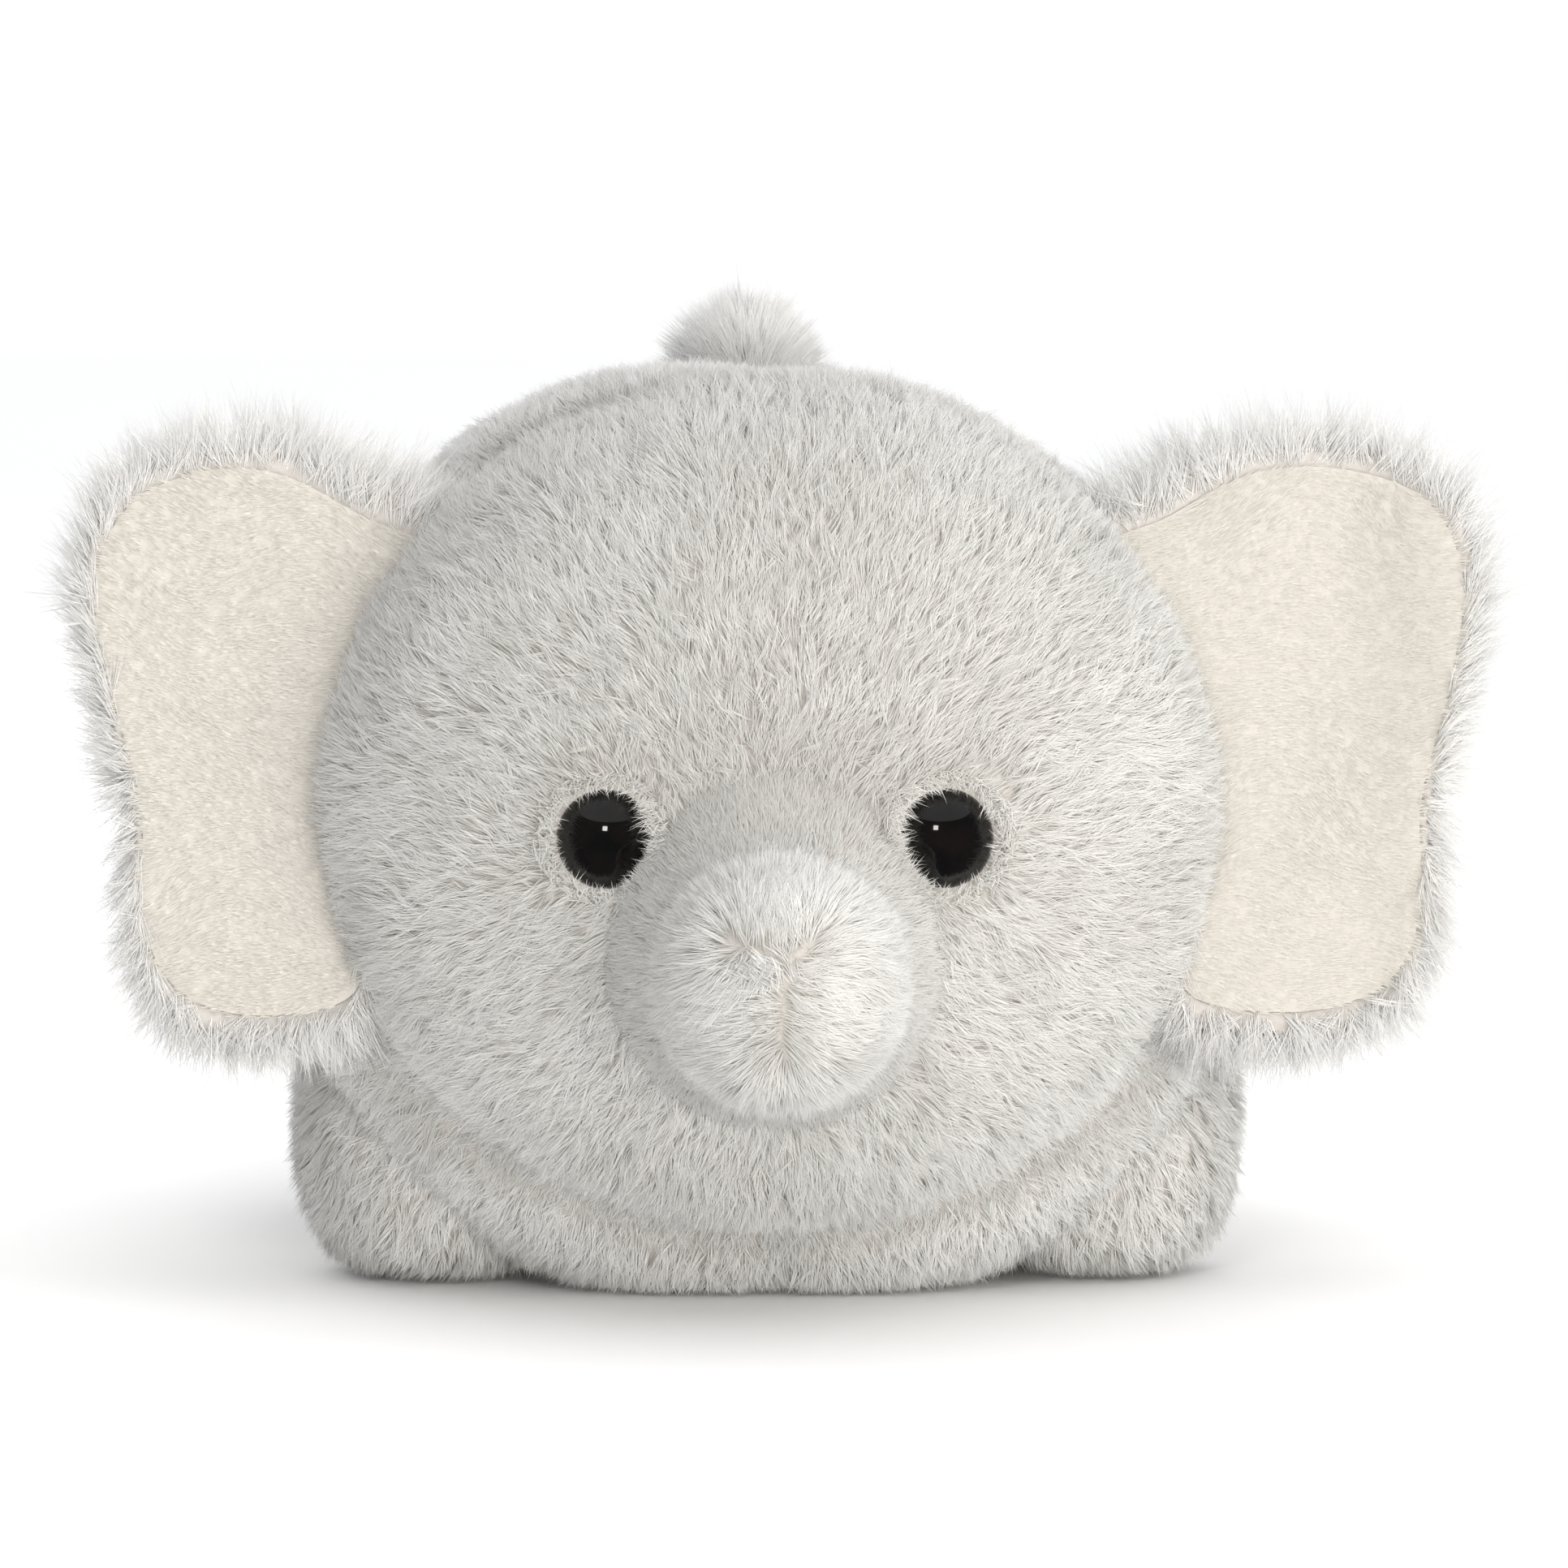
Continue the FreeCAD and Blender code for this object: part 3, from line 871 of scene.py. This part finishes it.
def build_trunk():
    droop = math.radians(2)
    ahead = np.array([0, -math.cos(droop), -math.sin(droop)])
    up = np.array([0, -math.sin(droop), math.cos(droop)])
    side = np.array([1.0, 0, 0])
    tip_reach = (TRUNK_PIVOT[1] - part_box("trunk_panel_left")[0][1]) - 1.8 * MM
    ball = 15.6 * MM
    split = 13 * MM
    bare_root = 2.5 * MM
    parting_depth, parting_wide = 0.8 * MM, 2.4 * MM
    stops = np.array([-3, 1, 5, 9, 14, 20, 26]) * MM
    radii = np.array([28.5, 26.8, 25, 23, 20.6, 18.3, 17]) * MM
    around = 64
    turn = circle(around)
    reaches = list(np.linspace(-3, 25, 15) * MM)
    sizes = list(np.interp(reaches, stops, radii))
    centre = tip_reach - ball

    def sag(reach):
        return -2.4 * MM * ease(np.asarray(reach), 2 * MM, 30 * MM)

    def forward(where):
        """How far along the trunk's axis points are."""
        return (where - TRUNK_PIVOT) @ ahead

    for step in range(9):
        angle = math.radians(4 + 83 * (step / 8))
        reaches.append(centre + ball * math.sin(angle))
        sizes.append(ball * math.cos(angle) * (1 + 0.03 * math.cos(angle)))
    rings = []
    for reach, size in zip(reaches, sizes):
        bridge = 1 + 0.2 * (1 - ease(reach, 0, 18 * MM)) * np.maximum(np.sin(turn), 0) ** 3
        high = np.sin(turn) * size * bridge + sag(reach)
        ring = side * (np.cos(turn) * size)[:, None] + up * high[:, None]
        rings.append(TRUNK_PIVOT + ahead * reach + ring)
    tip = TRUNK_PIVOT + ahead * tip_reach + up * sag(tip_reach)
    faces = tube_faces(len(rings), around, False, True)
    whole = new_object("trunk_form", np.concatenate(rings + [[tip]]), faces)
    pinned = np.concatenate([np.repeat(np.arange(len(rings)), around) < 3, [True]])
    column = np.tile(np.arange(around), len(rings))
    pinned[:-1] |= (column == around // 4) | (column == 3 * around // 4)
    stuff(whole, pinned, *TRUNK_STUFFING)
    root_ends = ("torso", "trunk_root", 3 * MM, 12 * MM)
    tip_ends = ("trunk_root", "trunk", split, 24 * MM)

    def follow(pieces):
        bend(pieces)

    for name, first, last, ends in (
        ("trunk_root_stuffing", 3, 8, root_ends), ("trunk_stuffing", 8, len(rings), tip_ends),
    ):
        middles = [ring.mean(axis=0) for ring in rings[first:last]]
        inner = [spot + (ring - spot) * 0.86 for spot, ring in zip(middles, rings[first:last])]
        centres = [[inner[0].mean(axis=0)], [inner[-1].mean(axis=0) - ahead * 2 * MM]]
        faces = tube_faces(len(inner), around, True, True)
        wad = new_object(name + "_wad", np.concatenate(inner + centres), faces)
        move_to(wad, coordinates(wad.data) - ahead * 2.4 * MM)
        dress(shade_smooth(wad), FIBRE)
        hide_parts(name)
        follow([wad])
    refine(whole)
    points = coordinates(whole.data)
    parting = [tip + (side * x + up * z) * MM for x, z in ((-6, 8), (1.5, 6.5), (3.5, 7.2))]
    stem = [tip + (side * x + up * z) * MM for x, z in ((1.5, 6.5), (0.3, 1), (0, -7))]

    def from_parting(where):
        """The way from the nearest seam on the tip's face, and how far off it is."""
        flat = where - ((where - tip) @ ahead)[:, None] * ahead
        front = forward(where) > centre
        spot, far = nearest_on_line(flat, parting)
        spot_down, far_down = nearest_on_line(flat, stem)
        nearer = np.where((far < far_down)[:, None], spot, spot_down)
        return unit(flat - nearer), np.where(front, np.minimum(far, far_down), 1.0)

    dent = parting_depth * bump(from_parting(points)[1], parting_wide)
    points -= vertex_normals(whole.data) * dent[:, None]
    move_to(whole, points)
    reach = forward(points)
    polygons = [list(p.vertices) for p in whole.data.polygons]
    middle = np.array([reach[p].mean() for p in polygons])
    right = np.array([points[p, 0].mean() < 0 for p in polygons])

    def flow(where):
        reach = forward(where)
        out = unit(where - TRUNK_PIVOT - reach[:, None] * ahead)
        front = ease(reach, centre + 2 * MM, centre + 8 * MM)[:, None]
        return (out * 0.4 - ahead) * (1 - front) + from_parting(where)[0] * front

    def length_there(where):
        return 0.62 + 0.5 * ease(forward(where), centre - 5 * MM, centre + 3 * MM)

    def tint_and_painted_light_there(where):
        parted = bump(from_parting(where)[1], 1.6 * MM)
        front = ease(forward(where), centre - 4 * MM, centre + 2 * MM)
        top = ease(where[:, 2] - TRUNK_PIVOT[2], 6 * MM, 20 * MM) * (1 - front)
        # The tip's face is paler than the flank: painted light on the face and painted shade on the
        # flank. The pile is also darker along the parting and on top near the root.
        return 0.24 * front - 0.2 * parted - 0.1 - 0.35 * top

    def keep(where):
        """Denser along the parting, where the pile falls both ways."""
        clear = forward(where) > bare_root
        return clear * (0.7 + 0.3 * bump(from_parting(where)[1], 4 * MM))

    def stand(where):
        return 0.2 * bump(from_parting(where)[1], 2.2 * MM)

    nap = look(
        tufts=2.4, hairs=7, length=4.8 * MM, lean=54, stray=0.25, uneven=0.1, gather=0.55,
        width=0.11 * MM,
    )
    for end, part, ends in (("root", middle <= split, root_ends), ("tip", middle > split, tip_ends)):
        for name, wanted in (("left", part & ~right), ("right", part & right)):
            skin, normals = cut_out(whole, wanted, f"trunk_{end}_skin_{name}")
            dress(skin, BACKING, None)
            if end == "tip":
                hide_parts("trunk_panel_" + name)
            fur_name, surface = f"trunk_{end}_fur_{name}", Surface(skin, normals)
            fur = pile(fur_name, surface, flow, nap, keep, length_there, tint_and_painted_light_there, stand)
            dress(fur, FUR, None)
            follow([skin, fur])
    bpy.data.objects.remove(whole)


# ---- ears
EAR_SHAPE = [
    (49, 121), (61, 129.3), (77, 134.6), (93, 134.2), (105.5, 128), (111, 114.5), (108, 96),
    (103, 77), (102.5, 58), (96.5, 46.5), (82, 42), (64, 46), (66, 64), (67.5, 84), (61, 106),
]
EAR_MIDDLE = (84, 90)
FRINGE_PILE = look(
    tufts=1.0, hairs=8, length=8.2 * MM, lean=54, curl=12, frizz=0.55 * MM, uneven=0.2,
    width=0.09 * MM, facing=0.0, round=1.0, gather=0.85,
)
VELOUR_PILE = look(
    tufts=3.3, hairs=3, length=1.9 * MM, width=0.12 * MM, lean=60, curl=8, spread=0.35 * MM,
    frizz=0.06 * MM, stray=0.12, gather=1.0, mottle=0.25, wander=0.2, grain=0.16,
)


def ear_outline(count):
    """The ear's edge on the leaning seam plane, evenly spaced, as (outwards, up)."""
    shape = np.array(EAR_SHAPE, float) * MM
    closed = np.concatenate([shape, shape[:1]])
    t = np.linspace(0, len(shape), 900, endpoint=False)
    index = np.floor(t).astype(int)
    local = (t - index)[:, None]
    p0, p1, p2, p3 = (closed[(index + k) % len(shape)] for k in (-1, 0, 1, 2))
    line = 0.5 * (
        2 * p1 + (p2 - p0) * local + (2 * p0 - 5 * p1 + 4 * p2 - p3) * local**2
        + (3 * p1 - p0 - 3 * p2 + p3) * local**3
    )
    ring = np.concatenate([line, line[:1]])
    reach = np.concatenate([[0], np.cumsum(lengths(np.diff(ring, axis=0)))])
    even = np.linspace(0, reach[-1], count, endpoint=False)
    return np.stack([np.interp(even, reach, ring[:, k]) for k in (0, 1)], axis=1)


def build_ear(side, name):
    """An ear: its lining, its back, which rolls round the edge, and the pile on both."""
    around = 112
    outline = ear_outline(around)
    outline[:, 0] += side * 2.2 * MM * ease(outline[:, 0], 70 * MM, 105 * MM)
    middle = np.array(EAR_MIDDLE) * MM
    lean = math.atan(SEAM_LEAN)
    normal = np.array([0, -math.cos(lean), math.sin(lean)])
    shares = [0.12, 0.25, 0.4, 0.55, 0.68, 0.79, 0.87, 0.925, 0.96, 0.985, 1.0]
    half = 3.2 * MM
    lining_share = 0.925
    tuck = 0.9 * MM
    roll = 0.075 * bump(lengths(outline - np.array([60, 128]) * MM), 16 * MM)

    def place(share, depth):
        drawn_in = 1 - roll * ease(share, 0.3, lining_share) * (1 - ease(share, lining_share, 1))
        flat = middle + (outline - middle) * (share * drawn_in)[:, None]
        x, z = flat[:, 0], flat[:, 1]
        dish = 2.5 * MM * bump(np.hypot(x - 86 * MM, (z - 100 * MM) * 0.8), 22 * MM)
        curl = 3.0 * MM * ease(x, 92 * MM, 112 * MM)
        waved = 1.1 * MM * np.sin((z - 60 * MM) / (9 * MM))
        fold = waved * ease(x, 70 * MM, 90 * MM) * bump(z - 62 * MM, 16 * MM)
        out = depth - dish + curl + fold
        base = np.stack([side * x, seam_y(z), z], axis=1)
        return base + normal * np.reshape(out, (-1, 1))

    inner = [s for s in shares if s <= lining_share]
    edge = [s for s in shares if s >= lining_share]
    front = [place(s, half * (1 - s**6) ** 0.5 * 0.8 + 0.2 * MM) for s in inner]
    wrap = [place(s, half * (1 - s**8) ** 0.5 - tuck * (s == edge[0])) for s in edge]
    back = [place(s, -half * (1 - s**6) ** 0.5) for s in reversed(shares[:-1])]

    def sheet(title, rings, depth):
        """A layer of fabric from its rings, closed at the ear's middle."""
        points = np.concatenate(rings + [[place(1e-6, depth).mean(axis=0)]])
        return new_object(title + name, points, tube_faces(len(rings), around, False, True))

    lining = sheet("ear_lining_skin_", front[::-1], half * 0.8)
    shell = sheet("ear_back_skin_", wrap + back, -half)
    for obj, ahead in ((lining, normal), (shell, -normal)):
        if (vertex_normals(obj.data) @ ahead).sum() < 0:
            obj.data.flip_normals()
        refine(obj)
    dress(lining, LINING, None)
    dress(shell, BACKING, None)
    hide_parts("ear_lining_" + name)
    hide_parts("ear_back_" + name)

    heart = np.array([side * middle[0], seam_y(middle[1]), middle[1]])

    def outwards(points):
        return unit(points - heart) + np.array([0, 0, 0.15])

    def inner_keep(points):
        """Thinner behind the ear's middle than at its edge."""
        flat = np.stack([side * points[:, 0], points[:, 2]], axis=1)
        far = np.array([np.min(np.hypot(*(outline - spot).T)) for spot in flat])
        return 0.45 + 0.55 * (1 - ease(far, 5 * MM, 12 * MM))

    def combed(points):
        """Swirled down and outwards."""
        turn = 0.8 * waves(points, 45 * MM, 41)[:, None]
        return np.array([side * 1.0, 0, 0]) * np.cos(turn) + np.array([0, 0, -1.0]) * np.sin(turn)

    def ripples(points):
        """1 in the fine furrows near the top, where the nap parts, and 0 away from them."""
        high = ease(points[:, 2], 106 * MM, 114 * MM)
        height = points[:, 2] + 0.5 * MM * waves(points, 12 * MM, 51)
        ripple = np.sin(height * 2 * math.pi / (1.3 * MM))
        outer = ease(side * points[:, 0], 64 * MM, 84 * MM)
        return high * outer * np.maximum(ripple, 0) ** 2

    def furrow_shade_and_tone(points):
        # The furrows, where the nap is thinner, are darkened further by painted shade; the +X ear's
        # velour is also a little darker all over.
        return -0.7 * ripples(points) - (0.15 if side > 0 else 0.0)

    def rib_keep(points):
        return 1 - 0.6 * ripples(points)

    shell_fur = pile("ear_back_fur_" + name, Surface(shell), outwards, FRINGE_PILE, inner_keep)
    velour = pile("ear_velour_" + name, Surface(lining), combed, VELOUR_PILE, rib_keep, shade=furrow_shade_and_tone)
    dress(shell_fur, EAR_FUR, None)
    dress(velour, VELOUR, None)
    pieces = (lining, shell, shell_fur, velour)
    bend(pieces)


# ---- feet and tail
def build_foot(row, side, name):
    node = f"{row}_{name}"
    low, high = (np.array(c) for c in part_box("foot_skin_" + node))
    radius = 22 * MM
    y = (low[1] + high[1]) / 2
    x = high[0] - 22.4 * MM if side > 0 else low[0] + 23.5 * MM
    around = 40
    turn = circle(around)
    rings = []
    for step in range(1, 12):
        up = -1 + 2 * step / 12
        z = 23.5 * MM + 23.2 * MM * np.sign(up) * abs(up) ** 0.9
        across = (radius + 1.2 * MM * up) * (1 - abs(up) ** 3) ** (1 / 3)
        ring = [x + across * np.cos(turn), y + across * np.sin(turn) * 1.06, np.full(around, z)]
        rings.append(np.stack(ring, axis=1))
    poles = [[x, y, 0.6 * MM], [x, y, 46.5 * MM]]
    faces = tube_faces(len(rings), around, True, True)
    skin = new_object("foot_skin_piece_" + node, np.concatenate(rings + [poles]), faces)
    pinned = np.zeros(len(skin.data.vertices), dtype=bool)
    pinned[:around] = True
    pinned[-2] = True
    stuff(skin, pinned, *FOOT_STUFFING)
    lift_off_floor(skin, coordinates(skin.data), SKIN_LOW)
    refine(skin)
    dress(skin, BACKING, None)
    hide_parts("foot_skin_" + node)
    wad = filling(skin, "foot_wadding_" + node, "foot_stuffing_" + node, 3.2 * MM)

    def flow(points):
        return np.tile([side * 0.35, 0.0, -1.0], (len(points), 1))

    def keep(points):
        inside = ease(np.abs(points[:, 0]), abs(x) - 16 * MM, abs(x) - 8 * MM)
        return floor_keep(points) * inside

    # The feet on the +X side, towards the key lamp, get paler pile: painted light.
    pale = 0.08 if side > 0 else 0.0
    nap = look(tufts=0.5, length=5.6 * MM, width=0.16 * MM, shade=pale)
    if row == "front":
        nap = look(tufts=0.88, hairs=7, length=4.8 * MM, gather=0.5, width=0.12 * MM, shade=pale)
    fur = pile("foot_fur_" + node, Surface(skin), flow, nap, keep)
    dress(fur, FUR, None)
    bend((wad, skin, fur))


def build_tail():
    pivot = joint_place("tail_sway")
    lean = math.radians(12)
    up = np.array([0, math.sin(lean), math.cos(lean)])
    side = np.array([1.0, 0, 0])
    other = np.cross(up, side)
    around = 32
    turn = circle(around)
    rings = []
    sizes = [(-9, 9.0), (-6, 8.2), (-2, 7.4), (2, 7.0), (6, 6.8), (10, 6.2), (12.5, 4.8), (14, 2.8)]
    for reach, size in sizes:
        ring = side * np.cos(turn)[:, None] + other * np.sin(turn)[:, None]
        rings.append(pivot + up * reach * MM + ring * size * MM)
    points = np.concatenate(rings + [[pivot - up * 9 * MM], [pivot + up * 14.8 * MM]])
    skin = new_object("tail_skin_piece", points, tube_faces(len(rings), around, True, True))
    refine(skin)
    wad = filling(skin, "tail_wadding", "tail_stuffing", 2 * MM)
    dress(skin, BACKING, None)
    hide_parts("tail_skin")

    def flow(where):
        return unit((where - pivot) * [1, 1, 0]) * 0.5 + up

    nap = look(
        tufts=2.6, hairs=8, length=9.4 * MM, lean=29, curl=8, stray=0.45, frizz=0.4 * MM,
        width=0.09 * MM, uneven=0.1, facing=0.3, round=0.9, gather=0.7,
    )
    fur = pile("tail_fur", Surface(skin), flow, nap)
    dress(fur, EAR_FUR, None)
    bend((wad, skin, fur))


# ---- what lies inside
def dress_inner_nodes():
    """The CAD pieces that the skin hides keep their shape and get real materials."""
    pouch = cloth_material("pouch_cloth", (0.66, 0.66, 0.64), (0.8, 0.8, 0.78), 1500, 0.4)
    pellet = cloth_material(
        "pellet_plastic", (0.62, 0.62, 0.6), (0.78, 0.78, 0.75), 500, 0.1, 0.45, 0.0
    )
    washer = cloth_material("washer_plastic", (0.7, 0.7, 0.68), (0.8, 0.8, 0.78), 400, 0.1, 0.4, 0.0)
    for node, made in (
        ("pellet_pouch", pouch), ("pellets", pellet),
        ("eye_washer_left", washer), ("eye_washer_right", washer),
    ):
        for slot in frame["nodes"][node].material_slots:
            slot.material = made


# ---- stage
CAMERA_AZIMUTH = -1.8
CAMERA_ELEVATION = 4.4
CAMERA_DISTANCE = 1.3
CAMERA_TARGET = (2.2 * MM, -60 * MM, 82.2 * MM)
VIEW_WIDTH = 0.2483


def build_stage():
    """A pale floor, a studio sky that is dim on one side and dark in reflections, soft lamps,
    and the camera."""
    floor_material, nodes, shader = material("pale_floor")
    mottle(nodes, shader, 6, (0.3, (0.95, 0.95, 0.95)), (0.7, (0.97, 0.97, 0.97)))
    dial(shader, Roughness=0.9)
    floor = new_object("floor", [(-6, -6, 0), (6, -6, 0), (6, 6, 0), (-6, 6, 0)], [(0, 1, 2, 3)])
    floor.data.materials.append(floor_material)

    scene = bpy.context.scene
    world = bpy.data.worlds.new("studio")
    scene.world = world
    world.use_nodes = True
    nodes = world.node_tree.nodes
    sky = nodes.new("ShaderNodeTexCoord")
    towards_dim = nodes.new("ShaderNodeVectorMath")
    towards_dim.operation = "DOT_PRODUCT"
    towards_dim.inputs[1].default_value = (-0.93, -0.36, 0.0)
    shades = ramp(nodes, [(0.05, (0.995, 0.998, 1.0)), (0.75, (0.08, 0.084, 0.092))])
    wire(sky, "Generated", towards_dim, 0)
    wire(towards_dim, "Value", shades, "Fac")
    background = nodes["Background"]
    wire(shades, "Color", background, "Color")
    dial(background, Strength=1.03)
    dark_room = nodes.new("ShaderNodeBackground")
    dial(dark_room, Color=(0.9, 0.95, 1.0, 1.0), Strength=0.12)
    path = nodes.new("ShaderNodeLightPath")
    choice = nodes.new("ShaderNodeMixShader")
    wire(path, "Is Glossy Ray", choice, "Fac")
    wire(background, "Background", choice, 1)
    wire(dark_room, "Background", choice, 2)
    wire(choice, "Shader", nodes["World Output"], "Surface")
    floor.visible_glossy = False
    for name, place, size, power, colour in (
        ("key", (1.05, -0.95, 0.5), (0.25, 0.5), 1.7, (1.0, 0.88, 0.7)),
        ("spark", (-0.28, -1.38, 0.72), (0.25, 0.25), 3.5, (1.0, 0.98, 0.95)),
        ("low", (0.3, -1.35, 0.11), (1.5, 0.2), 14.5, (1.0, 0.965, 0.915)),
        ("back", (-1.0, 1.25, 0.55), (1.4, 0.9), 9, (1.0, 1.0, 1.0)),
    ):
        lamp = bpy.data.lights.new(name, "AREA")
        lamp.shape = "RECTANGLE"
        lamp.size, lamp.size_y = size
        lamp.energy = power
        lamp.color = colour
        obj = linked(name, lamp)
        obj.visible_glossy = name == "spark"
        aim(obj, np.array(place), np.array([0, -0.02, 0.07]))
    ceiling = bpy.data.lights.new("ceiling", "SUN")
    ceiling.energy = 1.0
    ceiling.angle = math.radians(100)
    linked("ceiling", ceiling)
    camera = bpy.data.cameras.new("camera")
    camera.sensor_width = 36
    camera.lens = 36 * CAMERA_DISTANCE / VIEW_WIDTH
    eye = linked("camera", camera)
    azimuth, elevation = math.radians(CAMERA_AZIMUTH), math.radians(CAMERA_ELEVATION)
    back = np.array([
        math.sin(azimuth) * math.cos(elevation),
        -math.cos(azimuth) * math.cos(elevation),
        math.sin(elevation),
    ])
    target = np.array(CAMERA_TARGET)
    aim(eye, target + back * CAMERA_DISTANCE, target)
    scene.camera = eye
    scene.view_settings.view_transform = "Standard"


def aim(obj, place, target):
    obj.location = place
    obj.rotation_mode = "QUATERNION"
    obj.rotation_quaternion = Vector(target - place).to_track_quat("-Z", "Y")


def main():
    build_body()
    build_trunk()
    for side, name in ((1, "left"), (-1, "right")):
        make_eye(name)
        build_ear(side, name)
        for row in ("front", "rear"):
            build_foot(row, side, name)
    build_tail()
    dress_inner_nodes()
    build_stage()


main()
